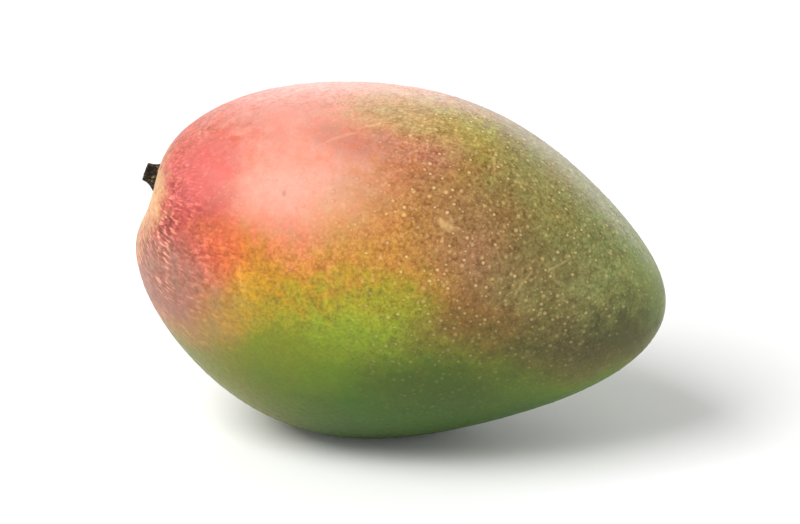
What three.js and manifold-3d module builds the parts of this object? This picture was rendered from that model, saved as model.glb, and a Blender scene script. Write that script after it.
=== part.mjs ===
// A whole mango as picked, lying on its side: the fruit, and the short woody stub of its stalk.
// Millimetres, +Z up. The stalk end points to -X, the apex to +X, and the cheeks face -Y and +Y.
// The origin is under the middle of the fruit, on the surface that it lies on.
import * as THREE from 'three';
import { mergeVertices } from 'three/addons/utils/BufferGeometryUtils.js';
import Module from 'manifold-3d';

// ---- the fruit ----
const LENGTH = 132.4; // stalk end to apex
const HEIGHT = 87.7; // back to belly, at the fullest section
const THICKNESS = 83; // cheek to cheek, at the fullest section
const TAPER = 0.143; // how much narrower the apex half is than the stalk half
const END_SLIMNESS = 0.137; // how much both ends draw in from a plain oval
const SQUARENESS = 0.012; // how far the section stands out between back and cheek
const BACK_FLATNESS = 0.06; // how much flatter the back is than the belly
const BACK_SLOPE = 0.114; // the back is flattest over the stalk half
const BACK_SHOULDER = 0.166; // and full again at the shoulder beside the stalk
const APEX_DROOP = 1.5; // the apex hangs a little towards the belly
const DROOP_SHARPNESS = 10; // the droop stays close to the apex
const SWELLS = [
  // slow swells of the flesh: height, waves along X, Y and Z, and where they start
  { height: 0.4, waves: new THREE.Vector3(2.1, 3.2, 1.4), start: 0.6 },
  { height: 0.3, waves: new THREE.Vector3(-1.7, 2.4, 3.9), start: 2.2 },
  { height: 0.2, waves: new THREE.Vector3(5.1, -1.6, 2.7), start: 4.0 },
];
const SKIN_DETAIL = 17; // the skin has 20 * (SKIN_DETAIL + 1)^2 triangles

// ---- where the stalk grows ----
const STALK_RISE = THREE.MathUtils.degToRad(12.2); // the stalk grows above the middle of the end
const STALK_LEAN = THREE.MathUtils.degToRad(15); // and leans that way
const BASIN_DEPTH = 3.8; // the hollow that the stalk grows from
const BASIN_ACROSS = 15; // its reach towards each cheek
const BASIN_TALL = 8.5; // and towards the back and the belly
const BASIN_DROP = 3.2; // its deepest place is this far below the stalk
const STALK_GAP = 0.3; // between the stub and its socket in the flesh
const STALK_HEIGHT = 4.2; // the stub's free end above the skin
const STALK_CUT = THREE.MathUtils.degToRad(12); // the free end is cut aslant
const STALK_SIDES = 28;
const STALK_ROOT = { radius: 3.0, height: -3.0 }; // the stub's end in the flesh
const STALK_NECK = { radius: 3.4, height: -0.4 }; // where it leaves the flesh
const STALK_COLLAR = { radius: 3.85, height: 0.4 }; // its widest place, on the skin
const STALK_OUTLINE = [
  STALK_ROOT,
  STALK_NECK,
  STALK_COLLAR,
  { radius: 3.5, height: 1.1 },
  { radius: 2.8, height: 2.0 },
  { radius: 2.4, height: 3.0 },
  { radius: 2.25, height: 4.2 },
  { radius: 2.25, height: 7.0 }, // past the cut
];

// ---- how it lies ----
const REST_TILT = THREE.MathUtils.degToRad(6.5); // the apex end lies lower
const FLAT_DEPTH = 1.1; // what the small flat spot takes off the round underside

const wasm = await Module();
wasm.setup();

// ---------------------------------------------------------------- geometry to solid and back

function solidFrom(geometry) {
  const bare = geometry.clone();
  bare.deleteAttribute('normal');
  bare.deleteAttribute('uv');
  const merged = mergeVertices(bare, 1e-4);
  return new wasm.Manifold(
    new wasm.Mesh({
      numProp: 3,
      vertProperties: merged.attributes.position.array,
      triVerts: new Uint32Array(merged.index.array),
    }),
  );
}

function meshFrom(name, solid, material) {
  const { vertProperties, triVerts } = solid.getMesh();
  const geometry = new THREE.BufferGeometry();
  geometry.setAttribute('position', new THREE.BufferAttribute(vertProperties, 3));
  geometry.setIndex(new THREE.BufferAttribute(triVerts, 1));
  geometry.computeVertexNormals();
  const mesh = new THREE.Mesh(geometry, material);
  mesh.name = name;
  return mesh;
}

// ---------------------------------------------------------------- the skin

// Half width at a place along the fruit, from -1 at the stalk end to 1 at the apex,
// as a share of a plain oval's.
function fullness(along) {
  return 1 - TAPER * along - END_SLIMNESS * along * along;
}

// The largest share of the half width that the outline reaches, so that HEIGHT is true.
function fullestShare() {
  let most = 0;
  for (let along = -1; along <= 1; along += 0.01) {
    most = Math.max(most, Math.sqrt(1 - along * along) * fullness(along));
  }
  return most;
}

const FULLEST = fullestShare();

// How much further from the middle the back is than the belly, as a share of the half height.
function backShare(along) {
  return -BACK_FLATNESS + BACK_SLOPE * along - BACK_SHOULDER * along ** 3;
}

function swellAt(direction) {
  return SWELLS.reduce(
    (sum, swell) => sum + swell.height * Math.sin(swell.waves.dot(direction) + swell.start),
    0,
  );
}

// The bare egg form: the point of the skin that lies in a unit direction from the middle.
function eggPoint(direction) {
  const { x, y, z } = direction;
  const width = (fullness(x) / FULLEST) * (1 + 4 * SQUARENESS * y * y * z * z);
  const point = new THREE.Vector3(
    (LENGTH / 2) * x,
    (THICKNESS / 2) * width * y,
    (HEIGHT / 2) * width * z * (1 + z * backShare(x)),
  );
  point.z -= APEX_DROOP * ((1 + x) / 2) ** DROOP_SHARPNESS;
  return point.addScaledVector(direction, swellAt(direction));
}

const stalkDirection = new THREE.Vector3(-Math.cos(STALK_RISE), 0, Math.sin(STALK_RISE));
const basinHeight = eggPoint(stalkDirection).z - BASIN_DROP;

// The egg form with the basin pressed into its stalk end.
function skinPoint(direction) {
  const point = eggPoint(direction);
  if (point.x < 0) {
    const away = Math.hypot(point.y / BASIN_ACROSS, (point.z - basinHeight) / BASIN_TALL);
    point.x += BASIN_DEPTH * Math.exp(-away * away);
  }
  return point;
}

const stalkFoot = skinPoint(stalkDirection);

function skinSolid() {
  const ball = new THREE.IcosahedronGeometry(1, SKIN_DETAIL);
  const spots = ball.getAttribute('position');
  const direction = new THREE.Vector3();
  for (let i = 0; i < spots.count; i += 1) {
    direction.fromBufferAttribute(spots, i).normalize();
    const point = skinPoint(direction);
    spots.setXYZ(i, point.x, point.y, point.z);
  }
  return solidFrom(ball);
}

// ---------------------------------------------------------------- the stalk

// Moves a body from the +Y axis to the stalk's own axis, with its zero height on the skin.
function onStalk(geometry) {
  geometry.applyMatrix4(new THREE.Matrix4().makeRotationX(Math.PI / 2));
  geometry.applyMatrix4(new THREE.Matrix4().makeRotationY(STALK_LEAN - Math.PI / 2));
  return geometry.translate(stalkFoot.x, stalkFoot.y, stalkFoot.z);
}

// A round body from its outline of radii and heights, along the stalk.
function turnedOnStalk(outline) {
  const middle = [outline[0], outline[outline.length - 1]].map(({ height }) => new THREE.Vector2(0, height));
  const points = outline.map(({ radius, height }) => new THREE.Vector2(radius, height));
  return solidFrom(onStalk(new THREE.LatheGeometry([middle[0], ...points, middle[1]], STALK_SIDES)));
}

function stalkSolid() {
  const block = 40; // larger than the stub
  const waste = new THREE.BoxGeometry(block, block, block);
  waste.translate(0, STALK_HEIGHT + block / 2, 0);
  waste.rotateX(STALK_CUT); // the cut end faces a little towards the near cheek
  return turnedOnStalk(STALK_OUTLINE).subtract(solidFrom(onStalk(waste)));
}

// The room that the stub takes up in the flesh, with the gap all round.
function socketSolid() {
  const mouth = 12; // past the skin
  return turnedOnStalk([
    { radius: STALK_ROOT.radius + STALK_GAP, height: STALK_ROOT.height - STALK_GAP },
    { radius: STALK_NECK.radius + STALK_GAP, height: STALK_NECK.height - STALK_GAP },
    { radius: STALK_COLLAR.radius + STALK_GAP, height: STALK_COLLAR.height - STALK_GAP },
    { radius: STALK_COLLAR.radius + STALK_GAP, height: mouth },
  ]);
}

// ---------------------------------------------------------------- laid on its side

// Turns a body into the way the fruit lies.
function laid(solid) {
  const lying = meshFrom('', solid).geometry.rotateY(REST_TILT);
  lying.computeBoundingBox();
  return lying;
}

const skin = laid(skinSolid().subtract(socketSolid()));
const drop = -skin.boundingBox.min.z - FLAT_DEPTH; // brings the flat spot to height zero
const stub = laid(stalkSolid());

const ground = new THREE.BoxGeometry(2 * LENGTH, 2 * LENGTH, LENGTH);
ground.translate(0, 0, -LENGTH / 2);
const fruit = solidFrom(skin.translate(0, 0, drop)).subtract(solidFrom(ground));
const stalk = solidFrom(stub.translate(0, 0, drop));

const skinFinish = new THREE.MeshStandardMaterial({ color: '#a98a4a', roughness: 0.45, metalness: 0 });
const barkFinish = new THREE.MeshStandardMaterial({ color: '#3a2c1c', roughness: 0.85, metalness: 0 });

const mango = new THREE.Group();
mango.add(meshFrom('fruit', fruit, skinFinish));
mango.add(meshFrom('stalk', stalk, barkFinish));

const middle = new THREE.Box3().setFromObject(mango).getCenter(new THREE.Vector3());
mango.position.set(-middle.x, -middle.y, 0);

export default mango;
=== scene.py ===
# A whole mango as picked, lying on its side on a pale studio floor.
#
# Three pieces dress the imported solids: the skin and its lenticels, both grown by Geometry Nodes,
# and the woody stub of the stalk, shaped in mesh code. Metres, +Z up; the stalk end points to -X
# and the cheeks face -Y and +Y.
import math

import bpy
import numpy as np
from mathutils import Matrix, Vector, noise


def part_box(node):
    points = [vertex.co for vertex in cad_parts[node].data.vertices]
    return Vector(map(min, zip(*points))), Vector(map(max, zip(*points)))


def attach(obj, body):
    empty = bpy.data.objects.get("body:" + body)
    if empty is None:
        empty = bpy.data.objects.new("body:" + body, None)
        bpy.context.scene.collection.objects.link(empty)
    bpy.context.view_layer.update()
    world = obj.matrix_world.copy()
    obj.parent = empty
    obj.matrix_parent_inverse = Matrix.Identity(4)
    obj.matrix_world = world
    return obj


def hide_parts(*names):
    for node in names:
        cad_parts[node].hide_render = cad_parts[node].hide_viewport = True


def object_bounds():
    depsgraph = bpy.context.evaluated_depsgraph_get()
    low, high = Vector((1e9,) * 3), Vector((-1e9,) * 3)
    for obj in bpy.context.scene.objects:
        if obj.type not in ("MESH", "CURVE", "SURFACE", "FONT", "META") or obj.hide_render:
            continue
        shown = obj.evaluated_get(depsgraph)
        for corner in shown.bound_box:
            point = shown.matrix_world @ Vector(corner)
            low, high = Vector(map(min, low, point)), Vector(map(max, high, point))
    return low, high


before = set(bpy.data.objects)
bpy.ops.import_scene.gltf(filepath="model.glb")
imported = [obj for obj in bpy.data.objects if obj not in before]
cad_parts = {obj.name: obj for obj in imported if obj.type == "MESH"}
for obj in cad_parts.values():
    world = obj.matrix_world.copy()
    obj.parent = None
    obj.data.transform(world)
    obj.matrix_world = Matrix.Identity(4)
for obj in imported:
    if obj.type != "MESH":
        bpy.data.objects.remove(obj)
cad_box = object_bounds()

MM = 0.001

# ---- the fruit's form ----
LENGTH = 132.4 * MM
HEIGHT = 87.7 * MM
THICKNESS = 83 * MM
TAPER = 0.143  # how much narrower the apex half is than the stalk half
END_SLIMNESS = 0.137  # how much both ends draw in from a plain oval
SQUARENESS = 0.048  # between back and cheek the section stands out by a quarter of this
BACK_FLATNESS = 0.06
BACK_SLOPE = 0.114  # the back is flattest over the stalk half
BACK_SHOULDER = 0.166  # and full again at the shoulder beside the stalk
APEX_DROOP = 1.5 * MM
DROOP_SHARPNESS = 10.0
SWELLS = [  # slow swells of the flesh: height, waves along X, Y and Z, and where they start
    (0.4 * MM, (2.1, 3.2, 1.4), 0.6),
    (0.3 * MM, (-1.7, 2.4, 3.9), 2.2),
    (0.2 * MM, (5.1, -1.6, 2.7), 4.0),
]
BASIN_DEPTH = 3.8 * MM  # the hollow that the stalk grows from
BASIN_ACROSS = 15 * MM
BASIN_TALL = 8.5 * MM
BASIN_HEIGHT = 5.89 * MM  # above the middle of the end
REST_TILT = math.radians(6.5)  # the apex end lies lower
SKIN_ROWS = 120  # points along each of the twelve seams of the skin's grid
DIMPLE_SIZE = 9 * MM
DIMPLE_DEPTH = 0.12 * MM
LOWEST = (-1, -1, 0)  # the skin is kept above this z, and it never comes near these x and y
MAP_SHARE = 0.98  # of its sixth of the picture map, that a side of the skin fills

# ---- the stalk ----
STALK_LEAN = math.radians(15)
STALK_CUT = math.radians(12)  # the free end is cut aslant
STALK_HEIGHT = 4.2 * MM
STALK_ROOT = -3.0 * MM  # its buried end
STALK_WORN = 0.35 * MM  # how far its corners are worn round
STALK_SIDES = 96
STALK_RINGS = 64  # from the root to the cut
PITH_RINGS = 9  # from the bark to the pith, over the cut end
STALK_OUTLINE = [  # height and radius
    (STALK_ROOT, 3.0 * MM),
    (-0.4 * MM, 3.4 * MM),
    (0.4 * MM, 3.85 * MM),
    (1.1 * MM, 3.5 * MM),
    (2.0 * MM, 2.8 * MM),
    (3.0 * MM, 2.4 * MM),
    (STALK_HEIGHT, 2.25 * MM),
]
# The wood's unevenness: how fine it is round the pith, over what height it changes, where its
# pattern starts, and how much it adds at most, as a share of the radius or in metres on the cut.
STALK_FIBRES = (2.6, 5 * MM, 0, 0.06)
STALK_KNOTS = (1.3, 1.6 * MM, 7, 0.05)
STALK_CRACKS = (7, 2.2 * MM, 3, 0.05)
CUT_GRAIN = (1 / (0.45 * MM), MM, 5, 0.22 * MM)
CUT_SUNKEN = 0.5 * MM  # in the middle

# ---- the lenticels, and the streaks round the stalk ----
LENTICEL_SPACING = 1.6 * MM  # the least distance between two
LENTICEL_DENSITY = 1e6  # how many a square metre gets before that spacing thins them out
LENTICEL_RADIUS = 1.0 * MM  # of the largest, with the halo round its pale heart
LENTICEL_FLATNESS = 0.11  # its height, as a share of its radius
LENTICEL_SUNK = 0.02 * MM
LENTICEL_SIDES = 7
LENTICEL_SHARPNESS = 0.7  # of its top: 1 is a cone, and less is rounder
LENTICEL_RIM = 1.2  # an edge that turns by more than this, in radians, is its rim and stays crisp
LENTICEL_CROWDS = 6 * MM  # they stand closer in some spots, about this large, than in others
LENTICEL_SEED = 11
BARE_ROUND_STALK = 9 * MM
STREAKS_FULL = 26 * MM  # from the bare skin to here, the streaks come in
STREAK_REACH = 42 * MM  # and round about here they fade
STREAK_WIDTH = 1.0 * MM  # at that reach, and they are finer towards the stalk
STREAK_LENGTH = 2.0 * MM
STREAK_STRETCH = 1.6  # a lenticel beside the stalk is longer than another by this share

# ---- the camera ----
VIEW_AZIMUTH = math.radians(12)
VIEW_ELEVATION = math.radians(20)
VIEW_DISTANCE = 0.9
VIEW_LENS = 166

# ---- the commonest kinds of node, and the settings of a share that comes and goes softly ----
MATHS = "ShaderNodeMath"
VECTORS = "ShaderNodeVectorMath"
RANGE = "ShaderNodeMapRange"
MIX = "ShaderNodeMix"
NOISE = "ShaderNodeTexNoise"
COMBINE = "ShaderNodeCombineXYZ"
SEPARATE = "ShaderNodeSeparateXYZ"
EASED = {"interpolation_type": "SMOOTHSTEP"}


def linear(hex_colour):
    """A colour as four linear numbers, from its sRGB hex."""
    shares = [int(hex_colour[i:i + 2], 16) / 255 for i in (1, 3, 5)]
    return [s / 12.92 if s <= 0.04045 else ((s + 0.055) / 1.055) ** 2.4 for s in shares] + [1.0]


def add(tree, kind, inputs=(), operation=None, stops=(), curve=(), **settings):
    """Adds a node with its settings, a ramp's colour stops or a curve's points. Its inputs are
    given in order or by name: a value, a socket, or a node, which stands for its first output."""
    node = tree.nodes.new(kind)
    if operation:
        node.operation = operation
    for name, value in settings.items():
        setattr(node, name, value)
    for i, (place, colour) in enumerate(stops):
        stop = node.color_ramp.elements[i] if i < 2 else node.color_ramp.elements.new(place)
        stop.position, stop.color = place, linear(colour)
    for i, (place, height) in enumerate(curve):
        points = node.mapping.curves[0].points
        point = points[i] if i < 2 else points.new(place, height)
        point.location = place, height
    shown = [s for s in node.inputs if s.enabled]
    for key, value in inputs.items() if isinstance(inputs, dict) else enumerate(inputs):
        socket = shown[key] if isinstance(key, int) else next(s for s in shown if s.name == key)
        if isinstance(value, bpy.types.Node):
            value = next(s for s in value.outputs if s.enabled)
        if isinstance(value, bpy.types.NodeSocket):
            tree.links.new(value, socket)
        elif value is not None:
            socket.default_value = value
    return node


def placed(name, data):
    """A new object in the scene."""
    made = bpy.data.objects.new(name, data)
    bpy.context.scene.collection.objects.link(made)
    return made


def new_tree(name, sizes):
    """A Geometry Nodes tree with one geometry input and output, and a named input for each size."""
    tree = bpy.data.node_groups.new(name, "GeometryNodeTree")
    for way in ("INPUT", "OUTPUT"):
        tree.interface.new_socket(name="Geometry", in_out=way, socket_type="NodeSocketGeometry")
    kinds = {int: "NodeSocketInt", float: "NodeSocketFloat", tuple: "NodeSocketVector"}
    for size, value in sizes.items():
        kind = kinds.get(type(value), "NodeSocketMaterial")
        tree.interface.new_socket(name=size, in_out="INPUT", socket_type=kind)
    return tree


def grown(name, tree, sizes, start=None):
    """The plain mesh that a tree grows, from a starting mesh or from nothing, with these sizes."""
    soil = placed("soil", start or bpy.data.meshes.new("nothing"))
    modifier = soil.modifiers.new(name, "NODES")
    modifier.node_group = tree
    for socket in tree.interface.items_tree:
        if socket.in_out == "INPUT" and socket.name in sizes:
            modifier[socket.identifier] = sizes[socket.name]
    graph = bpy.context.evaluated_depsgraph_get()
    mesh = bpy.data.meshes.new_from_object(soil.evaluated_get(graph), depsgraph=graph)
    soil.modifiers.remove(modifier)
    bpy.data.objects.remove(soil)
    mesh.name = name
    return mesh


def piece(name, mesh, node):
    """A piece of the mango that rides with the fruit, in place of a CAD node if one is named."""
    made = placed(name, mesh)
    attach(made, "root")
    if node:
        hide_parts(node)
    return made


# ---------------------------------------------------------------- the skin's form

def fullness(along):
    return 1 - TAPER * along - END_SLIMNESS * along * along


FULLEST = max(math.sqrt(1 - (i / 100) ** 2) * fullness(i / 100) for i in range(-100, 101))


def skin_sizes(material):
    low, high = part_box("fruit")
    sizes = {
        "Rows": SKIN_ROWS, "Length": LENGTH, "Height": HEIGHT, "Thickness": THICKNESS,
        "Taper": TAPER, "End slimness": END_SLIMNESS, "Fullest share": FULLEST,
        "Squareness": SQUARENESS, "Back flatness": BACK_FLATNESS, "Back slope": BACK_SLOPE,
        "Back shoulder": BACK_SHOULDER, "Apex rise": -APEX_DROOP, "Droop sharpness": DROOP_SHARPNESS,
        "Basin depth": BASIN_DEPTH, "Basin reach": (1.0, BASIN_ACROSS, BASIN_TALL),
        "Basin height": BASIN_HEIGHT, "Lying tilt": (0.0, REST_TILT, 0.0),
        "Dimple size": DIMPLE_SIZE, "Dimple depth": DIMPLE_DEPTH,
        "Top middle": ((low.x + high.x) / 2, (low.y + high.y) / 2, high.z), "Skin": material,
    }
    for i, (height, waves, start) in enumerate(SWELLS):
        sizes |= {f"Swell {i} height": height, f"Swell {i} waves": waves, f"Swell {i} start": start}
    return sizes


def picture_map(tree, cube, spot):
    """Gives each side of a cube a sixth of the picture map, with the fruit's length upright in it."""
    normal = add(tree, "GeometryNodeFieldOnDomain", [add(tree, "GeometryNodeInputNormal")],
                 domain="FACE", data_type="FLOAT_VECTOR")
    facing = add(tree, VECTORS, [normal], "ABSOLUTE")
    fx, fy, _ = add(tree, SEPARATE, [facing]).outputs
    px, py, pz = add(tree, SEPARATE, [spot]).outputs
    across = add(tree, MIX, [fy, py, pz])
    up = add(tree, MIX, [fx, px, pz])
    column = add(tree, VECTORS, [facing, (1, 3, 5)], "DOT_PRODUCT")
    row = add(tree, VECTORS, [normal, (1, 1, 1)], "DOT_PRODUCT")
    u = add(tree, MATHS, [across, MAP_SHARE, column], "MULTIPLY_ADD")
    v = add(tree, MATHS, [up, MAP_SHARE, row], "MULTIPLY_ADD")
    both = add(tree, COMBINE, [u, v])
    scaled = add(tree, VECTORS, [both, (1 / 6, 1 / 4, 0), (0, 1 / 2, 0)], "MULTIPLY_ADD")
    return add(tree, "GeometryNodeStoreNamedAttribute",
               {"Geometry": cube, "Name": "OFBake", "Value": scaled},
               domain="CORNER", data_type="FLOAT2")


def egg_form(tree, size, direction):
    """The egg form's point in each direction from its middle."""
    x, y, z = add(tree, SEPARATE, [direction]).outputs

    # How wide the fruit is at that place along it, as a share of a plain oval.
    slim = add(tree, MATHS, [x, size["End slimness"], size["Taper"]], "MULTIPLY_ADD")
    lost = add(tree, MATHS, [x, slim], "MULTIPLY")
    full = add(tree, MATHS, [1.0, lost], "SUBTRACT")
    share = add(tree, MATHS, [full, size["Fullest share"]], "DIVIDE")
    yz = add(tree, MATHS, [y, z], "MULTIPLY")
    corner = add(tree, MATHS, [yz, yz], "MULTIPLY")
    squared = add(tree, MATHS, [corner, size["Squareness"], 1.0], "MULTIPLY_ADD")
    width = add(tree, MATHS, [share, squared], "MULTIPLY")

    # How much further from the middle the back is than the belly.
    xx = add(tree, MATHS, [x, x], "MULTIPLY")
    bend = add(tree, MATHS, [xx, size["Back shoulder"]], "MULTIPLY")
    slope = add(tree, MATHS, [size["Back slope"], bend], "SUBTRACT")
    rise = add(tree, MATHS, [x, slope], "MULTIPLY")
    back = add(tree, MATHS, [rise, size["Back flatness"]], "SUBTRACT")
    lifted = add(tree, MATHS, [z, back, 1.0], "MULTIPLY_ADD")
    zz = add(tree, MATHS, [z, lifted], "MULTIPLY")

    # The oval's point, with the apex hanging towards the belly.
    tall = add(tree, MATHS, [width, zz], "MULTIPLY")
    wide = add(tree, MATHS, [width, y], "MULTIPLY")
    oval = add(tree, COMBINE, [x, wide, tall])
    sides = add(tree, COMBINE, [size["Length"], size["Thickness"], size["Height"]])
    halves = add(tree, VECTORS, {"Vector": sides, "Scale": 0.5}, "SCALE")
    along = add(tree, MATHS, [x, 0.5, 0.5], "MULTIPLY_ADD")
    sharp = add(tree, MATHS, [along, size["Droop sharpness"]], "POWER")
    droop = add(tree, MATHS, [sharp, size["Apex rise"]], "MULTIPLY")
    down = add(tree, COMBINE, {"Z": droop})
    return add(tree, VECTORS, [oval, halves, down], "MULTIPLY_ADD")


def swollen(tree, size, direction, egg):
    """Adds the slow swells of the flesh."""
    for i in range(len(SWELLS)):
        turn = add(tree, VECTORS, [direction, size[f"Swell {i} waves"]], "DOT_PRODUCT")
        phase = add(tree, MATHS, [turn, size[f"Swell {i} start"]], "ADD")
        wave = add(tree, MATHS, [phase], "SINE")
        swell = add(tree, MATHS, [wave, size[f"Swell {i} height"]], "MULTIPLY")
        out = add(tree, VECTORS, {"Vector": direction, "Scale": swell}, "SCALE")
        egg = add(tree, VECTORS, [egg, out], "ADD")
    return egg


def hollowed(tree, size, direction, egg):
    """Presses the basin into the stalk end."""
    middle = add(tree, COMBINE, {"Z": size["Basin height"]})
    from_basin = add(tree, VECTORS, [egg, middle], "SUBTRACT")
    reach = add(tree, VECTORS, [from_basin, size["Basin reach"]], "DIVIDE")
    away = add(tree, VECTORS, [reach, (0, 1, 1)], "MULTIPLY")
    square = add(tree, VECTORS, [away, away], "DOT_PRODUCT")
    minus = add(tree, MATHS, [square, -1.0], "MULTIPLY")
    bell = add(tree, MATHS, [minus], "EXPONENT")
    along = add(tree, SEPARATE, [direction])
    stalk_half = add(tree, MATHS, [along, 0.0], "LESS_THAN")
    dip = add(tree, MATHS, [bell, stalk_half], "MULTIPLY")
    deep = add(tree, MATHS, [dip, size["Basin depth"]], "MULTIPLY")
    inward = add(tree, COMBINE, {"X": deep})
    return add(tree, VECTORS, [egg, inward], "ADD")


def laid_down(tree, size, egg):
    """Tilts the fruit, and moves its top and its middle to where the frame has them."""
    tilted = add(tree, "GeometryNodeTransform", {"Geometry": egg, "Rotation": size["Lying tilt"]})
    bounds = add(tree, "GeometryNodeBoundBox", [tilted]).outputs
    sum_xy = add(tree, VECTORS, [bounds["Min"], bounds["Max"]], "ADD")
    half_xy = add(tree, VECTORS, [sum_xy, (0.5, 0.5, 0)], "MULTIPLY")
    own_top = add(tree, VECTORS, [bounds["Max"], (0, 0, 1), half_xy], "MULTIPLY_ADD")
    shift = add(tree, VECTORS, [size["Top middle"], own_top], "SUBTRACT")
    return add(tree, "GeometryNodeTransform", {"Geometry": tilted, "Translation": shift})


def settled(tree, size, egg, spot):
    """Adds shallow dimples, as in any leathery skin over flesh, and a flat spot to rest on."""
    scale = add(tree, MATHS, [1.0, size["Dimple size"]], "DIVIDE")
    bumps = add(tree, NOISE, {"Vector": spot, "Scale": scale, "Detail": 1.0})
    deviation = add(tree, MATHS, [bumps, 0.5], "SUBTRACT")
    height = add(tree, MATHS, [deviation, size["Dimple depth"]], "MULTIPLY")
    outward = add(tree, VECTORS,
                  {"Vector": add(tree, "GeometryNodeInputNormal"), "Scale": height}, "SCALE")
    egg = add(tree, "GeometryNodeSetPosition", {"Geometry": egg, "Offset": outward})
    above = add(tree, VECTORS, [spot, LOWEST], "MAXIMUM")
    return add(tree, "GeometryNodeSetPosition", {"Geometry": egg, "Position": above})


def skin_tree(sizes):
    """Grows the skin: a cube's grid blown up to a ball, and its points moved out to the egg form."""
    tree = new_tree("mango skin", sizes)
    size = add(tree, "NodeGroupInput").outputs
    cube = add(tree, "GeometryNodeMeshCube", [(2, 2, 2), size["Rows"], size["Rows"], size["Rows"]])
    spot = add(tree, "GeometryNodeInputPosition")
    mapped = picture_map(tree, cube, spot)

    # Equal angles keep the grid's squares alike.
    quarter = add(tree, VECTORS, {"Vector": spot, "Scale": math.pi / 4}, "SCALE")
    spread = add(tree, VECTORS, [quarter], "TANGENT")
    direction = add(tree, VECTORS, [spread], "NORMALIZE")
    point = egg_form(tree, size, direction)
    point = swollen(tree, size, direction, point)
    point = hollowed(tree, size, direction, point)
    egg = add(tree, "GeometryNodeSetPosition", {"Geometry": mapped, "Position": point})
    egg = laid_down(tree, size, egg)
    egg = settled(tree, size, egg, spot)
    smooth = add(tree, "GeometryNodeSetShadeSmooth", [egg])
    real = add(tree, "GeometryNodeRealizeInstances", [smooth])
    dressed = add(tree, "GeometryNodeSetMaterial", {"Geometry": real, "Material": size["Skin"]})
    add(tree, "NodeGroupOutput", {"Geometry": dressed})
    return tree


def make_skin(material):
    sizes = skin_sizes(material)
    return piece("mango_skin", grown("mango_skin", skin_tree(sizes), sizes), "fruit")


# ---------------------------------------------------------------- the lenticels

def lenticel_sizes(material, foot):
    return {
        "Spacing": LENTICEL_SPACING, "Density": LENTICEL_DENSITY, "Radius": LENTICEL_RADIUS,
        "Flatness": LENTICEL_FLATNESS, "Rise": -LENTICEL_SUNK, "Crowds": LENTICEL_CROWDS,
        "Fruit length": LENGTH, "Seed": LENTICEL_SEED, "Stalk foot": tuple(foot),
        "Bare round stalk": BARE_ROUND_STALK, "Streak reach": STREAK_REACH,
        "Streak stretch": STREAK_STRETCH, "Cork": material,
    }


def cork_dome(tree, spot):
    """One dome: a cone's rings at radius 1, 1/2 and 0, raised to a low round cap. Its attribute
    "heart" is 1 in the middle and 0 round the rim."""
    cone = add(tree, "GeometryNodeMeshCone", [LENTICEL_SIDES, 2, 1, 0.0, 1.0, 1.0])
    plan = add(tree, VECTORS, [spot, (1, 1, 0)], "MULTIPLY")
    radius = add(tree, VECTORS, [plan], "LENGTH")
    heart = add(tree, MATHS, [1.0, radius], "SUBTRACT", use_clamp=True)
    top = add(tree, MATHS, [heart, LENTICEL_SHARPNESS], "POWER")
    cap = add(tree, COMBINE, {"Z": top})
    domed = add(tree, VECTORS, [plan, cap], "ADD")
    marked = add(tree, "GeometryNodeStoreNamedAttribute",
                 {"Geometry": cone, "Name": "heart", "Value": heart})
    return add(tree, "GeometryNodeSetPosition", {"Geometry": marked, "Position": domed})


def scattered(tree, size, spot, distance):
    """Points on the skin: none close to the stalk, and towards the apex they stand closest."""
    beyond = add(tree, MATHS, [distance, size["Bare round stalk"]], "GREATER_THAN")
    often = add(tree, MATHS, [1.0, size["Crowds"]], "DIVIDE")
    crowds = add(tree, NOISE, {"Vector": spot, "Scale": often, "Detail": 1.0})
    crowded = add(tree, RANGE, [crowds, 0.35, 0.65, 0.2, 1.0])
    thick = add(tree, RANGE, [distance, 0.0, size["Fruit length"], 0.7, 1.0])
    chance = add(tree, MATHS, [thick, crowded], "MULTIPLY")
    return add(tree, "GeometryNodeDistributePointsOnFaces",
               {"Mesh": size["Geometry"], "Selection": beyond, "Distance Min": size["Spacing"],
                "Density Max": size["Density"], "Density Factor": chance, "Seed": size["Seed"]},
               distribute_method="POISSON")


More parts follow.
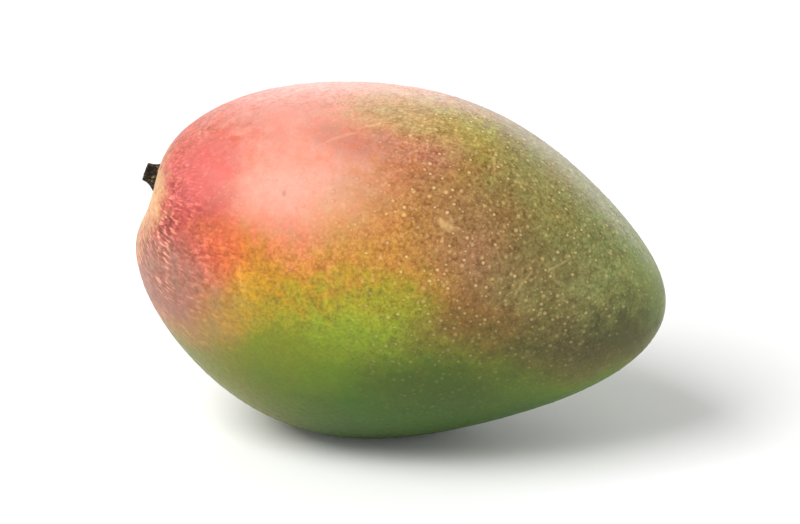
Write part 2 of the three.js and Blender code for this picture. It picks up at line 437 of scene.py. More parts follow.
def lenticel_tree(sizes):
    """Scatters low domes of cork over the skin, drawn out to streaks round the stalk."""
    tree = new_tree("lenticels", sizes)
    size = add(tree, "NodeGroupInput").outputs
    spot = add(tree, "GeometryNodeInputPosition")
    from_stalk = add(tree, VECTORS, [spot, size["Stalk foot"]], "SUBTRACT")
    distance = add(tree, VECTORS, [from_stalk], "LENGTH")
    scatter = scattered(tree, size, spot, distance)
    points, normal = scatter.outputs["Points"], scatter.outputs["Normal"]

    # Each has its own size and paleness, its "grade": few are large and pale.
    draw = add(tree, "FunctionNodeRandomValue", {"Seed": size["Seed"]})
    grade = add(tree, MATHS, [draw, 2.0], "POWER")
    graded = add(tree, "GeometryNodeStoreNamedAttribute",
                 {"Geometry": points, "Name": "grade", "Value": grade})
    share = add(tree, RANGE, [grade, 0.0, 1.0, 0.5, 1.0])
    own_radius = add(tree, MATHS, [share, size["Radius"]], "MULTIPLY")
    other = add(tree, MATHS, [size["Seed"], 1.0], "ADD")
    ratio = add(tree, "FunctionNodeRandomValue", {"Min": 0.7, "Max": 1.0, "Seed": other})
    narrow = add(tree, MATHS, [own_radius, ratio], "MULTIPLY")

    # A drawn-out one points away from the stalk.
    nearness = add(tree, RANGE, [distance, size["Streak reach"], size["Bare round stalk"]])
    drawn = add(tree, MATHS, [nearness, size["Streak stretch"], 1.0], "MULTIPLY_ADD")
    long = add(tree, MATHS, [own_radius, drawn], "MULTIPLY")
    high = add(tree, MATHS, [own_radius, size["Flatness"]], "MULTIPLY")
    scale = add(tree, COMBINE, [long, narrow, high])
    rotation = add(tree, "FunctionNodeAxesToRotation", [normal, from_stalk],
                   primary_axis="Z", secondary_axis="X")
    inward = add(tree, VECTORS, {"Vector": normal, "Scale": size["Rise"]}, "SCALE")
    sunk = add(tree, "GeometryNodeSetPosition", {"Geometry": graded, "Offset": inward})
    spread = add(tree, "GeometryNodeInstanceOnPoints",
                 {"Points": sunk, "Instance": cork_dome(tree, spot), "Rotation": rotation,
                  "Scale": scale})
    real = add(tree, "GeometryNodeRealizeInstances", [spread])
    smooth = add(tree, "GeometryNodeSetShadeSmooth", [real])
    angle = add(tree, "GeometryNodeInputMeshEdgeAngle")
    rim = add(tree, MATHS, [angle, LENTICEL_RIM], "GREATER_THAN")
    crisp = add(tree, "GeometryNodeSetShadeSmooth",
                {"Geometry": smooth, "Selection": rim, "Shade Smooth": False}, domain="EDGE")
    dressed = add(tree, "GeometryNodeSetMaterial", {"Geometry": crisp, "Material": size["Cork"]})
    add(tree, "NodeGroupOutput", {"Geometry": dressed})
    return tree


def make_lenticels(skin, foot, material):
    sizes = lenticel_sizes(material, foot)
    mesh = grown("lenticels", lenticel_tree(sizes), sizes, skin.data.copy())
    return piece("lenticels", mesh, None)


# ---------------------------------------------------------------- the stalk

def stalk_place():
    """Turns and moves a stub from +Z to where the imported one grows: its zero height is on the skin."""
    turn = Matrix.Rotation(REST_TILT + STALK_LEAN - math.pi / 2, 4, "Y")
    axis = turn @ Vector((0, 0, 1))
    corners = [v.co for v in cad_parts["stalk"].data.vertices]
    lowest = min(c.dot(axis) for c in corners)
    root = np.array([c for c in corners if c.dot(axis) < lowest + 0.01 * MM])
    middle = Vector((root.min(0) + root.max(0)) / 2)
    return Matrix.Translation(middle - STALK_ROOT * axis) @ turn


def stub_radius(height):
    """The turned outline's radius, with its corners worn round."""
    heights, radii = zip(*STALK_OUTLINE)
    worn = height + np.linspace(-STALK_WORN, STALK_WORN, 7)
    return float(np.mean(np.interp(worn, heights, radii)))


def unevenness(out, height, around, tall, start, most):
    """How much the wood's unevenness adds in a direction from the pith, at a height."""
    return most * noise.noise(Vector((*(out * around).xy, height / tall + start)))


def make_stalk(place, bark, end_grain):
    """The stub as rings of points: up the bark from the buried root, then over the cut to the pith."""
    points, faces = [], []
    for i in range(STALK_RINGS + PITH_RINGS):
        onto = min(i / (STALK_RINGS - 1), 1.0)  # 0 at the root, 1 at the cut
        inward = max(0, i - STALK_RINGS + 1) / (PITH_RINGS + 1)  # 0 at the bark, towards 1 at the pith
        for j in range(STALK_SIDES):
            turn = 2 * math.pi * j / STALK_SIDES
            out = Vector((math.cos(turn), math.sin(turn), 0))
            height = STALK_ROOT + onto * (STALK_HEIGHT - STALK_ROOT)
            fibre = unevenness(out, height, *STALK_FIBRES)
            knot = unevenness(out, height, *STALK_KNOTS)
            crack = max(0, unevenness(out, height, *STALK_CRACKS))
            radius = stub_radius(height) * (1 + fibre + knot - crack) * (1 - inward)
            lean = radius * out.y * math.sin(STALK_CUT)
            height += onto * ((STALK_HEIGHT + lean) / math.cos(STALK_CUT) - STALK_HEIGHT)
            if inward:
                height += unevenness(out * radius, 0, *CUT_GRAIN) - CUT_SUNKEN * inward ** 2
            points.append((radius * out.x, radius * out.y, height))
    faces.append(tuple(range(STALK_SIDES))[::-1])
    for i in range(STALK_RINGS + PITH_RINGS - 1):
        ring, above = i * STALK_SIDES, (i + 1) * STALK_SIDES
        for j in range(STALK_SIDES):
            k = (j + 1) % STALK_SIDES
            faces.append((ring + j, ring + k, above + k, above + j))
    last = (STALK_RINGS + PITH_RINGS - 1) * STALK_SIDES
    points.append((0, 0, sum(p[2] for p in points[last:]) / STALK_SIDES))
    faces += [(last + j, last + (j + 1) % STALK_SIDES, len(points) - 1) for j in range(STALK_SIDES)]
    mesh = bpy.data.meshes.new("stalk_stub")
    mesh.from_pydata(points, [], faces)
    mesh.transform(place)
    mesh.materials.append(bark)
    mesh.materials.append(end_grain)
    for face in mesh.polygons:
        face.use_smooth = face.index > 0
        face.material_index = int(face.index > (STALK_RINGS - 1) * STALK_SIDES)
    return piece("stalk_stub", mesh, "stalk")


# ---------------------------------------------------------------- the finishes

# The skin's colours go by the fruit's own place: along it from -1 at the stalk end to 1 at the
# apex, sideways from -1 at the near cheek to 1 at the far one, and up from -1 at the belly to 1
# at the back. Slow drifts bend that place, so that no edge of a colour runs straight.
EGG_MIDDLE = Vector((-0.69, -0.03, 44.39)) * MM  # where the egg form's middle comes to lie
EGG_HALVES = (LENGTH / 2, THICKNESS / 2, HEIGHT / 2)
DRIFTS = [(34 * MM, 0.25), (11 * MM, 0.16)]  # over what size, and how far

# The darker stops low on the belly are partly the green of the shade side and partly painted shade.
SHADE_SIDE = [  # from belly to back, where the sun didn't reach
    (0.0, "#2c4a00"), (0.2, "#3c5e00"), (0.3, "#5a7304"), (0.38, "#6e800a"), (0.45, "#7c8c14"),
    (0.56, "#8a8e12"), (1.0, "#988f2c"),
]
SUNNY_SIDE = [  # from stalk end to apex
    (0.0, "#b05244"), (0.2, "#be5642"), (0.36, "#cc6e4e"), (0.45, "#bc7848"), (0.54, "#a2683c"),
    (0.64, "#946e3a"), (0.74, "#81733d"), (0.86, "#84864a"), (1.0, "#7e9044"),
]
GOLD = "#a6820a"
AMBER = "#b0760a"
OLIVE = "#746a22"
STRAW = "#747304"
# How low the sun's blush reaches on the cheeks, and how high the green does, from stalk end to
# apex. Both run from 0 to 1, and the skin is golden between them.
BLUSH_EDGE = [(0.0, 0.2), (1.0, 0.34), (0.14, 0.33), (0.23, 0.5), (0.29, 0.61), (0.38, 0.6),
              (0.45, 0.61), (0.5, 0.65), (0.58, 0.61), (0.66, 0.56), (0.75, 0.44), (0.86, 0.37)]
GREEN_EDGE = [(0.0, 0.14), (1.0, 0.34), (0.16, 0.27), (0.31, 0.41), (0.41, 0.53), (0.55, 0.6),
              (0.6, 0.585), (0.66, 0.54), (0.75, 0.44), (0.86, 0.37)]
# Most of these are the skin's own blotches, and a few, as marked, are painted shade or a painted
# highlight.
BLOTCHES_AND_PAINTED_LIGHT = {  # colour, middle, reach, and how much of it shows; later ones lie over earlier ones
    "crimson by the stalk": ("#9c3634", (-0.75, -0.63, 0.24), (0.22, 0.5, 0.28), 0.85),
    "mauve under the stalk": ("#8c6250", (-0.78, -0.6, -0.2), (0.28, 0.7, 0.32), 0.85),
    "orange cheek": ("#c05c20", (-0.52, -0.9, 0.18), (0.16, 0.4, 0.18), 0.75),
    # Paler over the shoulder that faces the key lamp: the skin's own peach with a painted highlight in
    # it.
    "peach skin with painted highlight on the shoulder": ("#d0907a", (-0.34, -0.7, 0.6), (0.26, 0.4, 0.24), 0.7),
    "ochre cheek": ("#b48426", (0.03, -0.85, 0.38), (0.18, 0.4, 0.28), 0.5),
    # Pale pink over the back: the skin's own pink, made paler as a painted highlight from above.
    "pale pink and painted highlight over the back": ("#da9484", (-0.4, -0.1, 0.88), (0.46, 0.6, 0.36), 0.8),
    "tan back": ("#b49a60", (0.02, -0.2, 0.95), (0.28, 0.3, 0.2), 0.75),
    "rose over the crimson": ("#d06460", (-0.68, -0.5, 0.46), (0.14, 0.25, 0.18), 0.6),
    "tan round the stalk": ("#c09060", (-0.95, -0.2, 0.12), (0.12, 0.35, 0.3), 0.9),
    "brown over the cheek": ("#8e6442", (0.37, -0.8, 0.42), (0.2, 0.4, 0.24), 0.5),
    "russet cheek": ("#8e532a", (0.34, -0.87, 0.03), (0.14, 0.4, 0.18), 0.75),
    "rose on the back": ("#b4745e", (0.17, -0.43, 0.83), (0.1, 0.2, 0.1), 0.55),
    "rose line on the back": ("#b0685a", (-0.12, -0.48, 0.83), (0.2, 0.14, 0.06), 0.55),
    "mauve in the brown": ("#9a5e50", (0.32, -0.8, 0.32), (0.08, 0.2, 0.12), 0.2),
    "bronze towards the apex": ("#6e602e", (0.55, -0.67, 0.34), (0.16, 0.4, 0.2), 0.6),
    # Bronze under the cheek, darkened further as painted shade on the side that faces down.
    "bronze and painted shade beneath the cheek": ("#5e5012", (0.56, -0.74, -0.02), (0.32, 0.5, 0.19), 0.75),
    # Dark brown under the apex, partly the skin's own brown and partly painted shade.
    "dark brown and painted shade beneath the apex": ("#3a3402", (0.86, -0.4, -0.14), (0.34, 0.6, 0.22), 0.85),
    "olive by the apex": ("#6c6836", (0.71, -0.52, 0.27), (0.12, 0.3, 0.14), 0.5),
    # Deep green low on the flank, partly the skin's own green and partly painted shade.
    "deep green and painted shade on the flank": ("#304400", (0.35, -0.8, -0.38), (0.36, 0.5, 0.25), 0.75),
    "lime in the cheek": ("#86860a", (0.06, -0.95, 0.12), (0.18, 0.4, 0.12), 0.5),
    "lime on the back": ("#a89e3c", (0.27, -0.2, 0.87), (0.16, 0.25, 0.3), 0.6),
    "olive on the back": ("#948a49", (0.52, -0.2, 0.7), (0.2, 0.3, 0.25), 0.6),
}
CREAM = "#c89c6a"
PALE_BESIDE = Vector((2, -9, -0.5)) * MM  # the middle of the cream skin, from the stalk's foot
PALE_REACH = Vector((11, 14, 7)) * MM
CORK = "#dfc184"
CORK_SHARE = 0.5  # in a pale spot, and the rest is the skin's own colour, made lighter
PALER = 1.7
SLEEK_MIDDLE = (-0.4, -0.62, 0.62)  # on the sunny shoulder the skin is smoothest
SLEEK_REACH = (0.36, 0.5, 0.32)
TONE_SHARES = (0.8, 1.05, 1.4)  # a darker cell is redder too, so its blue goes down most
COOLER, WARMER = (0.95, 1.01, 1.02), (1.05, 0.98, 0.97)  # how the colour drifts from place to place
RIND_ROUGHNESS = 0.43
WAX_IOR = 1.42

# The sizes of the skin's patterns. Its real cells, under 0.1 mm, are too fine to show, so they are
# drawn as coarse as the grains here.
GRAINS = 0.85 * MM
CLUMPS = 2.6 * MM
RIPENING = 3.5 * MM  # the patches that turn colour together
CLOUDS = 7 * MM
SPECKS = [(1.2 * MM, 0.5), (2.1 * MM, 0.8)]  # how far apart, and how much the palest shows
LEATHER = 1.3 * MM
RUB_WAVES = 6 * MM

# Where leaves and twigs have rubbed the skin: middle in mm, slope from level in degrees, length and
# width in mm, and how much it shows.
RUBS = [
    # on the near cheek
    ((18, -32, 65), 27, 6, 2.2, 0.6),
    ((-30, -38, 50), 78, 11, 2.0, 0.22),
    ((43, -23.5, 54), -27, 6, 0.7, 0.35),
    ((35.5, -29.5, 51), -62, 7.5, 0.8, 0.35),
    # on the back
    ((26.5, -14.5, 75.5), 78, 7, 0.8, 0.5),
    ((34, -17, 70.5), 25, 5, 0.6, 0.35),
    ((-10, -19, 81), -20, 11, 0.5, 0.25),
    ((-2, -15, 83), -6, 8, 0.4, 0.3),
    ((-35, -14, 79), -16, 6, 0.6, 0.3),
    # on the far cheek
    ((24, 33, 62), 40, 6, 1.0, 0.5),
    ((-8, 36, 66), -35, 9, 0.7, 0.45),
    ((45, 24, 50), 60, 7, 0.8, 0.4),
]
RUB_DEPTH = 8  # mm into the flesh on both sides of the middle, so that it reaches the skin
OLD_PORE = "#8c5c48"  # one large pore on the smooth shoulder has dried grey-brown
OLD_PORE_PLACE = ((-21, -32, 70), 0, 1.5, 1.5, 0.6)


def multiplied(tree, share, *others):
    """Several shares multiplied together."""
    for other in others:
        share = add(tree, MATHS, [share, other], "MULTIPLY")
    return share


def noise_vector(tree, spot, size):
    """A random vector about zero that changes over this size."""
    drift = add(tree, NOISE, {"Vector": spot, "Scale": 1 / size, "Detail": 1.0})
    return add(tree, VECTORS, [drift.outputs["Color"], (0.5, 0.5, 0.5)], "SUBTRACT")


def reaches_from(tree, place, middle, reach):
    """How far a place is from the middle of an oval, where 1 is on the oval's edge."""
    apart = add(tree, VECTORS, [place, tuple(middle)], "SUBTRACT")
    shares = add(tree, VECTORS, [apart, tuple(reach)], "DIVIDE")
    return add(tree, VECTORS, [shares], "LENGTH")


def ripened(tree, place, patchy, fine):
    """Green on the belly, gold above it and the sun's red on top, with the fruit's own blotches and a
    few painted shades and highlights.
    """
    along, side, up = add(tree, SEPARATE, [place]).outputs
    share_along = add(tree, RANGE, [along, -1.0, 1.0, 0.0, 1.0])
    share_up = add(tree, RANGE, [up, -1.0, 1.0, 0.0, 1.0])
    shade = add(tree, "ShaderNodeValToRGB", [share_up], stops=SHADE_SIDE)
    sunny = add(tree, "ShaderNodeValToRGB", [share_along], stops=SUNNY_SIDE)
    # The far cheek had less sun, so everything there starts higher.
    far = add(tree, RANGE, [side, 0.0, 0.8, 0.0, -0.1], **EASED)
    stippled = add(tree, MATHS, [patchy, 0.04, far], "MULTIPLY_ADD")
    dusted = add(tree, MATHS, [fine, 0.022, stippled], "MULTIPLY_ADD")
    height = add(tree, MATHS, [share_up, dusted], "ADD")
    green_edge = add(tree, "ShaderNodeFloatCurve", {"Value": share_along}, curve=GREEN_EDGE)
    blush_edge = add(tree, "ShaderNodeFloatCurve", {"Value": share_along}, curve=BLUSH_EDGE)
    over_green = add(tree, MATHS, [height, green_edge], "SUBTRACT")
    over_gold = add(tree, MATHS, [height, blush_edge], "SUBTRACT")

    # Towards the stalk the green turns to straw, and towards the apex the gold turns to olive.
    old = add(tree, RANGE, [along, 0.0, -0.6, 0.0, 0.8], **EASED)
    straw = add(tree, MIX, [old, shade, linear(STRAW)], data_type="RGBA")
    riper = add(tree, RANGE, [over_gold, -0.12, 0.0], **EASED)
    gold = add(tree, MIX, [riper, linear(GOLD), linear(AMBER)], data_type="RGBA")
    unripe = add(tree, RANGE, [along, 0.1, 0.45, 0.0, 0.85], **EASED)
    olive = add(tree, MIX, [unripe, gold, linear(OLIVE)], data_type="RGBA")
    golden = add(tree, RANGE, [over_green, -0.09, 0.08], **EASED)
    ground = add(tree, MIX, [golden, straw, olive], data_type="RGBA")
    blush = add(tree, RANGE, [over_gold, -0.06, 0.11], **EASED)
    colour = add(tree, MIX, [blush, ground, sunny], data_type="RGBA")
    for name, (tint, middle, reach, most) in BLOTCHES_AND_PAINTED_LIGHT.items():
        away = reaches_from(tree, place, middle, reach)
        ragged = add(tree, MATHS, [patchy, 0.28, away], "MULTIPLY_ADD")
        amount = add(tree, RANGE, [ragged, 1.6, 0.2, 0.0, most], **EASED)
        colour = add(tree, MIX, [amount, colour, linear(tint)], data_type="RGBA", label=name)
    return colour


def streaks(tree, spot, foot, side, up, clouds):
    """Fine streaks that run out from the stalk over the shoulder: their fibres, and how much they
    show at each place."""
    from_foot = add(tree, VECTORS, [spot, tuple(foot)], "DISTANCE")
    from_stalk = add(tree, VECTORS, [spot, tuple(foot)], "SUBTRACT")
    sideways = add(tree, VECTORS, [from_stalk, (0, 1, 1)], "MULTIPLY")
    bearing = add(tree, VECTORS, [sideways], "NORMALIZE")
    round_stalk = add(tree, VECTORS, {"Vector": bearing, "Scale": STREAK_REACH / STREAK_WIDTH}, "SCALE")
    length = add(tree, MATHS, [from_foot, 1 / STREAK_LENGTH], "MULTIPLY")
    fibres = add(tree, NOISE,
                 {"Vector": round_stalk, "W": length, "Scale": 1.0, "Detail": 1.0},
                 noise_dimensions="4D")
    close = add(tree, RANGE, [from_foot, 1.55 * STREAK_REACH, 0.4 * STREAK_REACH, 0.0, 0.65], **EASED)
    below = add(tree, RANGE, [up, 0.3, 0.65, 1.0, 0.3], **EASED)
    gathered = add(tree, RANGE, [clouds, 0.4, 0.6, 0.5, 1.4])
    sunward = add(tree, RANGE, [side, -0.3, 0.4, 1.0, 0.5], **EASED)
    clear = add(tree, RANGE, [from_foot, BARE_ROUND_STALK, STREAKS_FULL, 0.1, 1.0], **EASED)
    return fibres, multiplied(tree, close, below, gathered, sunward, clear)


def speckled(tree, colour, spot, freckled, pale_spot):
    """Between the lenticels lie many specks too small to be raised."""
    for spacing, most in SPECKS:
        cells = add(tree, "ShaderNodeTexVoronoi", {"Vector": spot, "Scale": 1 / spacing})
        speck = add(tree, RANGE, [cells.outputs["Distance"], 0.32, 0.1, 0.0, most], **EASED)
        seen = multiplied(tree, speck, cells.outputs["Color"], freckled)
        colour = add(tree, MIX, [seen, colour, pale_spot], data_type="RGBA")
    return colour


def rubbed(tree, colour, spot, stipple, pale_spot):
    """Rubs are pale and broken, and follow the skin's own unevenness."""
    bent = add(tree, VECTORS,
               [noise_vector(tree, spot, RUB_WAVES), (2 * MM,) * 3, spot], "MULTIPLY_ADD")
    marks = [(pale_spot, *rub) for rub in RUBS] + [(linear(OLD_PORE), *OLD_PORE_PLACE)]
    for tint, middle, slope, length, width, most in marks:
        rub = add(tree, "ShaderNodeMapping",
                  {"Vector": bent, "Location": Vector(middle) * MM,
                   "Rotation": (0, math.radians(slope), 0),
                   "Scale": Vector((length / 2, RUB_DEPTH, width / 2)) * MM}, vector_type="TEXTURE")
        away = add(tree, VECTORS, [rub], "LENGTH")
        broken = add(tree, MATHS, [stipple, 0.3, away], "MULTIPLY_ADD")
        amount = add(tree, RANGE, [broken, 1.3, 0.4, 0.0, most], **EASED)
        colour = add(tree, MIX, [amount, colour, tint], data_type="RGBA")
    return colour


def skin_colours(foot):
    """The colours of the skin as one group, which the rind and its lenticels share."""
    tree = bpy.data.node_groups.new("mango skin colours", "ShaderNodeTree")
    for name, kind in (("Colour", "Color"), ("Freckled", "Float"), ("Pale spot", "Color")):
        tree.interface.new_socket(name=name, in_out="OUTPUT", socket_type=f"NodeSocket{kind}")
    spot = add(tree, "ShaderNodeTexCoord").outputs["Object"]
    own = add(tree, "ShaderNodeMapping",
              {"Vector": spot, "Location": EGG_MIDDLE, "Rotation": (0, REST_TILT, 0),
               "Scale": EGG_HALVES}, vector_type="TEXTURE")
    place = own
    for size, amount in DRIFTS:
        drift = noise_vector(tree, spot, size)
        place = add(tree, VECTORS, [drift, (amount,) * 3, place], "MULTIPLY_ADD")
    along, side, up = add(tree, SEPARATE, [place]).outputs

    # The sun's red and the ripening yellow come up cell by cell, so their edges are stippled.
    patches = add(tree, NOISE, {"Vector": spot, "Scale": 1 / RIPENING, "Detail": 3.0, "Roughness": 0.7})
    stipple = add(tree, RANGE, [patches, 0.3, 0.7, -1.0, 1.0])
    grains = add(tree, NOISE, {"Vector": spot, "Scale": 1 / GRAINS, "Detail": 2.0, "Roughness": 0.7})
    fine = add(tree, RANGE, [grains, 0.3, 0.7, -1.0, 1.0])
    lit = add(tree, RANGE, [up, -0.4, 0.1, 0.3, 1.0], **EASED)
    patchy = add(tree, MATHS, [stipple, lit], "MULTIPLY")
    colour = ripened(tree, place, patchy, fine)

    # Round the stalk the skin stays pale, most of all towards the near cheek, and the paleness
    # frays out in streaks.
    clouds = add(tree, NOISE, {"Vector": spot, "Scale": 1 / CLOUDS, "Detail": 2.0})
    fibres, near = streaks(tree, spot, foot, side, up, clouds)
    fibrous = add(tree, RANGE, [fibres, 0.4, 0.6, -1.0, 1.0])
    away = reaches_from(tree, spot, foot + PALE_BESIDE, PALE_REACH)
    streaky = add(tree, MATHS, [fibrous, 0.12, away], "MULTIPLY_ADD")
    frayed = add(tree, MATHS, [stipple, 0.2, streaky], "MULTIPLY_ADD")
    pale = add(tree, RANGE, [frayed, 1.3, 0.6, 0.0, 0.8], **EASED)
    colour = add(tree, MIX, [pale, colour, linear(CREAM)], data_type="RGBA")

    # Freckles show most towards the apex and round the stalk end, and least on the green.
    middling = add(tree, MATHS, [along, 0.3], "ADD")
    outer = add(tree, MATHS, [middling], "ABSOLUTE")
    rough = add(tree, RANGE, [outer, 0.15, 0.5, 0.25, 1.0], **EASED)
    sunlit = add(tree, RANGE, [up, -0.5, 0.5, 0.15, 1.2], **EASED)
    browner = add(tree, RANGE, [along, -0.4, 0.1, 0.5, 1.0], **EASED)
    tip = add(tree, RANGE, [along, 0.75, 1.0, 1.0, 0.4], **EASED)
    freckled = multiplied(tree, rough, browner, tip, sunlit)

    # Some cells are lighter and some darker, least of all on the sunny shoulder, in the pale skin
    # and at the tip.
    sleek = reaches_from(tree, own, SLEEK_MIDDLE, SLEEK_REACH)
    coarse = add(tree, RANGE, [sleek, 0.8, 1.6, 0.15, 1.0], **EASED)
    calm = add(tree, MATHS, [pale, -0.8, 1.0], "MULTIPLY_ADD")
    streaked = add(tree, MATHS, [near, 0.24, 0.3], "MULTIPLY_ADD")
    mottled = add(tree, MATHS, [freckled, 0.05, streaked], "MULTIPLY_ADD")
    uneven = multiplied(tree, mottled, coarse, calm, tip)
    grain = add(tree, MIX, [near, fine, fibrous])
    clumps = add(tree, NOISE, {"Vector": spot, "Scale": 1 / CLUMPS, "Detail": 1.0})
    clumped = add(tree, RANGE, [clumps, 0.3, 0.7, -0.5, 0.5])
    texture = add(tree, MATHS, [grain, 1.1, clumped], "MULTIPLY_ADD")
    depth = add(tree, MATHS, [uneven, lit], "MULTIPLY")
    light = add(tree, MATHS, [texture, depth, 0.97], "MULTIPLY_ADD")
    tones = [add(tree, MATHS, [light, share], "POWER") for share in TONE_SHARES]
    toned = add(tree, COMBINE, tones)
    colour = add(tree, VECTORS, [colour, toned], "MULTIPLY")
    warmth = add(tree, RANGE, [clouds, 0.35, 0.65])
    tint = add(tree, MIX, [warmth, COOLER, WARMER], data_type="VECTOR")
    colour = add(tree, VECTORS, [colour, tint], "MULTIPLY")

    # Streaks, specks and rubs are all as pale as the heart of a lenticel.
    lighter = add(tree, VECTORS, {"Vector": colour, "Scale": PALER}, "SCALE")
    corky = add(tree, MATHS, [browner, CORK_SHARE], "MULTIPLY")
    pale_spot = add(tree, MIX, [corky, lighter, linear(CORK)], data_type="RGBA")
    stroke = add(tree, RANGE, [fibres, 0.55, 0.65, 0.0, 0.8], **EASED)
    drawn = multiplied(tree, stroke, near, uneven)
    shown = add(tree, MATHS, [drawn, 2.6], "MULTIPLY", use_clamp=True)
    colour = add(tree, MIX, [shown, colour, pale_spot], data_type="RGBA")
    colour = speckled(tree, colour, spot, freckled, pale_spot)
    colour = rubbed(tree, colour, spot, stipple, pale_spot)
    add(tree, "NodeGroupOutput", [colour, freckled, pale_spot])
    return tree


def new_material(name):
    made = bpy.data.materials.new(name)
    made.use_nodes = True
    made.node_tree.nodes.clear()
    return made, made.node_tree


def waxy_rind(colours):
    """Ripe mango rind: a leathery skin under a thin natural wax, which spreads a lamp's gleam wide."""
    made, tree = new_material("waxy mango rind")
    spot = add(tree, "ShaderNodeTexCoord").outputs["Object"]
    skin = add(tree, "ShaderNodeGroup", node_tree=colours)
    leather = add(tree, NOISE, {"Vector": spot, "Scale": 1 / LEATHER, "Detail": 2.0})
    grain = add(tree, "ShaderNodeBump", {"Strength": 0.5, "Distance": 0.05 * MM, "Height": leather})
    dull = add(tree, RANGE, [leather, 0.3, 0.7, RIND_ROUGHNESS - 0.07, RIND_ROUGHNESS + 0.07])
    look = add(tree, "ShaderNodeBsdfPrincipled",
               {"Base Color": skin, "Roughness": dull, "IOR": WAX_IOR, "Normal": grain})
    add(tree, "ShaderNodeOutputMaterial", [look])
    return made


def lenticel_cork(colours):
    """The corky pores in the rind: pale and dull in the middle, in a darker halo that fades into the
    rind's own colour."""
    made, tree = new_material("lenticel cork")
    skin = add(tree, "ShaderNodeGroup", node_tree=colours)
    heart = add(tree, "ShaderNodeAttribute", attribute_name="heart").outputs["Fac"]
    grade = add(tree, "ShaderNodeAttribute", attribute_name="grade").outputs["Fac"]
    own = add(tree, RANGE, [grade, 0.0, 0.7, 0.3, 0.95])
    most = add(tree, MATHS, [skin.outputs["Freckled"], own], "MULTIPLY")
    halo = add(tree, RANGE, [heart, 0.0, 0.3, 0.0, -0.35], **EASED)
    dark = add(tree, MATHS, [halo, most, 1.0], "MULTIPLY_ADD")
    ring = add(tree, VECTORS, {"Vector": skin, "Scale": dark}, "SCALE")
    pale = add(tree, RANGE, [heart, 0.15, 0.95, 0.0, most], **EASED)
    colour = add(tree, MIX, [pale, ring, skin.outputs["Pale spot"]], data_type="RGBA")
    dull = add(tree, RANGE, [most, 0.0, 1.0, RIND_ROUGHNESS, 0.65])
    look = add(tree, "ShaderNodeBsdfPrincipled",
               {"Base Color": colour, "Roughness": dull, "IOR": WAX_IOR})
    add(tree, "ShaderNodeOutputMaterial", [look])
    return made


def along_stub(tree, spot, place):
    """The place on the stub as if it stood upright, with +Z along its fibres."""
    return add(tree, "ShaderNodeMapping",
               {"Vector": spot, "Location": place.translation, "Rotation": place.to_euler()},
               vector_type="TEXTURE")


def stub_bark(place):
    """Dried bark of the stalk: black-brown and dull, with pale fibres along it and greyish scurf."""
    made, tree = new_material("dried mango bark")
    spot = add(tree, "ShaderNodeTexCoord").outputs["Object"]
    upright = along_stub(tree, spot, place)
    drawn = add(tree, VECTORS, [upright, (1, 1, 0.25)], "MULTIPLY")
    fibres = add(tree, NOISE,
                 {"Vector": drawn, "Scale": 1 / (0.5 * MM), "Detail": 3.0, "Roughness": 0.6})
    scurf = add(tree, NOISE, {"Vector": spot, "Scale": 1 / (1.6 * MM), "Detail": 4.0})
    dark = add(tree, "ShaderNodeValToRGB", [fibres], stops=[
        (0.36, "#0a0805"), (0.5, "#1a140c"), (0.6, "#3a2e1b"), (0.7, "#8a7848")])
    worn = add(tree, RANGE, [scurf, 0.58, 0.7, 0.0, 0.6], **EASED)
    colour = add(tree, MIX, [worn, dark, linear("#7c7562")], data_type="RGBA")
    ridged = add(tree, "ShaderNodeBump", {"Strength": 0.8, "Distance": 0.25 * MM, "Height": fibres})
    look = add(tree, "ShaderNodeBsdfPrincipled",
               {"Base Color": colour, "Roughness": 0.8, "IOR": 1.45, "Specular IOR Level": 0.2,
                "Normal": ridged})
    add(tree, "ShaderNodeOutputMaterial", [look])
    return made


def stub_end_grain(place):
    """Cut and dried wood across the grain: dark, with paler rings of fibre round the pith."""
    made, tree = new_material("cut mango stalk")
    spot = add(tree, "ShaderNodeTexCoord").outputs["Object"]
    upright = along_stub(tree, spot, place)
    rings = add(tree, "ShaderNodeTexWave",
                {"Vector": upright, "Scale": 1 / (4 * MM), "Distortion": 9.0, "Detail": 3.0,
                 "Detail Scale": 2.0}, wave_type="RINGS", rings_direction="Z")
    colour = add(tree, "ShaderNodeValToRGB", [rings], stops=[
        (0.0, "#100c07"), (0.6, "#1e180f"), (1.0, "#3a3023")])
    rough = add(tree, NOISE, {"Vector": spot, "Scale": 1 / (0.4 * MM), "Detail": 3.0})
    uneven = add(tree, "ShaderNodeBump", {"Strength": 0.8, "Distance": 0.2 * MM, "Height": rough})
    look = add(tree, "ShaderNodeBsdfPrincipled",
               {"Base Color": colour, "Roughness": 0.85, "IOR": 1.45, "Specular IOR Level": 0.2,
                "Normal": uneven})
    add(tree, "ShaderNodeOutputMaterial", [look])
    return made


# ---------------------------------------------------------------- the studio

FLOOR_RADIUS = 3.0
FLOOR_CURVE = 2.0  # the radius of the bend from floor to wall
FLOOR_SIDES = 128
FLOOR_RINGS = 12  # on its level part
BEND_RINGS = 16
FLOOR_GLOW = (0.7, 0.5)  # from how far out it is lit from behind, and how strongly at the bend
AIR_LIGHT = 0.38
SOFTBOXES = [  # azimuth and elevation in degrees, distance, width and height in m, and watts
    ("key softbox", -46, 50, 1.6, 1.2, 1.0, 29),
    ("back softbox", -160, 32, 1.8, 1.2, 1.2, 4),
    ("rim softbox", 172, 15, 2.2, 2.6, 1.0, 16),
]


def seamless_paper():
    """White seamless paper: matt, and lit from behind further out, so that it fades to plain white."""
    made, tree = new_material("white seamless paper")
    spot = add(tree, "ShaderNodeTexCoord").outputs["Object"]
    away = add(tree, VECTORS, [spot], "LENGTH")
    start, most = FLOOR_GLOW
    backlit = add(tree, RANGE, [away, start, FLOOR_RADIUS, 0.0, most], **EASED)
    look = add(tree, "ShaderNodeBsdfPrincipled",
               {"Base Color": linear("#f2f2f2"), "Roughness": 0.9, "Specular IOR Level": 0.2,
                "Emission Color": linear("#ffffff"), "Emission Strength": backlit})
    add(tree, "ShaderNodeOutputMaterial", [look])
    return made


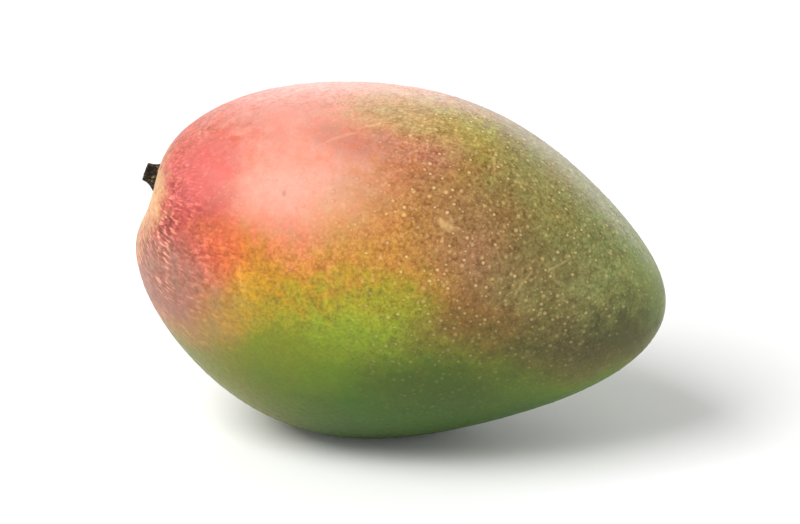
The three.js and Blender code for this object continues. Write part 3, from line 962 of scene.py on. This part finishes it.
def make_floor():
    """A round floor that curves up all round into a wall, so that no horizon shows."""
    outline = [(FLOOR_RADIUS * i / FLOOR_RINGS, 0.0) for i in range(1, FLOOR_RINGS)]
    for i in range(BEND_RINGS + 1):
        bend = i / BEND_RINGS * math.pi / 2
        out, up = FLOOR_CURVE * math.sin(bend), FLOOR_CURVE * (1 - math.cos(bend))
        outline.append((FLOOR_RADIUS + out, up))
    points = [(0, 0, 0)]
    for radius, height in outline:
        for j in range(FLOOR_SIDES):
            turn = 2 * math.pi * j / FLOOR_SIDES
            points.append((radius * math.cos(turn), radius * math.sin(turn), height))
    faces = [(0, 1 + j, 1 + (j + 1) % FLOOR_SIDES) for j in range(FLOOR_SIDES)]
    for i in range(len(outline) - 1):
        low, high = 1 + i * FLOOR_SIDES, 1 + (i + 1) * FLOOR_SIDES
        for j in range(FLOOR_SIDES):
            k = (j + 1) % FLOOR_SIDES
            faces.append((low + j, high + j, high + k, low + k))
    mesh = bpy.data.meshes.new("floor")
    mesh.from_pydata(points, [], faces)
    mesh.shade_smooth()
    mesh.materials.append(seamless_paper())
    placed("floor", mesh)


def towards(azimuth, elevation):
    """The direction in which something at this azimuth and elevation stands: azimuth 0 is -Y."""
    level = math.cos(elevation)
    return Vector((math.sin(azimuth) * level, -math.cos(azimuth) * level, math.sin(elevation)))


def aimed(name, data, direction, distance, target):
    """An object that stands in a direction from its target and faces it."""
    made = placed(name, data)
    made.location = target + direction * distance
    made.rotation_euler = direction.to_track_quat("Z", "Y").to_euler()
    return made


def make_camera(target):
    data = bpy.data.cameras.new("camera")
    data.lens = VIEW_LENS
    data.clip_end = 50
    scene = bpy.context.scene
    scene.camera = aimed("camera", data, towards(VIEW_AZIMUTH, VIEW_ELEVATION), VIEW_DISTANCE, target)


def make_softbox(name, azimuth, elevation, distance, width, height, power, target):
    data = bpy.data.lights.new(name, "AREA")
    data.shape = "RECTANGLE"
    data.size = width
    data.size_y = height
    data.energy = power
    direction = towards(math.radians(azimuth), math.radians(elevation))
    aimed(name, data, direction, distance, target).visible_camera = False


def make_studio(target):
    scene = bpy.context.scene
    scene.view_settings.view_transform = "Standard"
    world = bpy.data.worlds.new("studio air")
    world.use_nodes = True
    air = world.node_tree.nodes["Background"].inputs
    air["Color"].default_value = (1, 1, 1, 1)
    air["Strength"].default_value = AIR_LIGHT
    scene.world = world
    for box in SOFTBOXES:
        make_softbox(*box, target)


# ---------------------------------------------------------------- the mango

low, high = cad_box
target = (Vector(low) + Vector(high)) / 2
make_camera(target)
make_studio(target)
make_floor()

place = stalk_place()
colours = skin_colours(place.translation)
skin = make_skin(waxy_rind(colours))
make_lenticels(skin, place.translation, lenticel_cork(colours))
make_stalk(place, stub_bark(place), stub_end_grain(place))
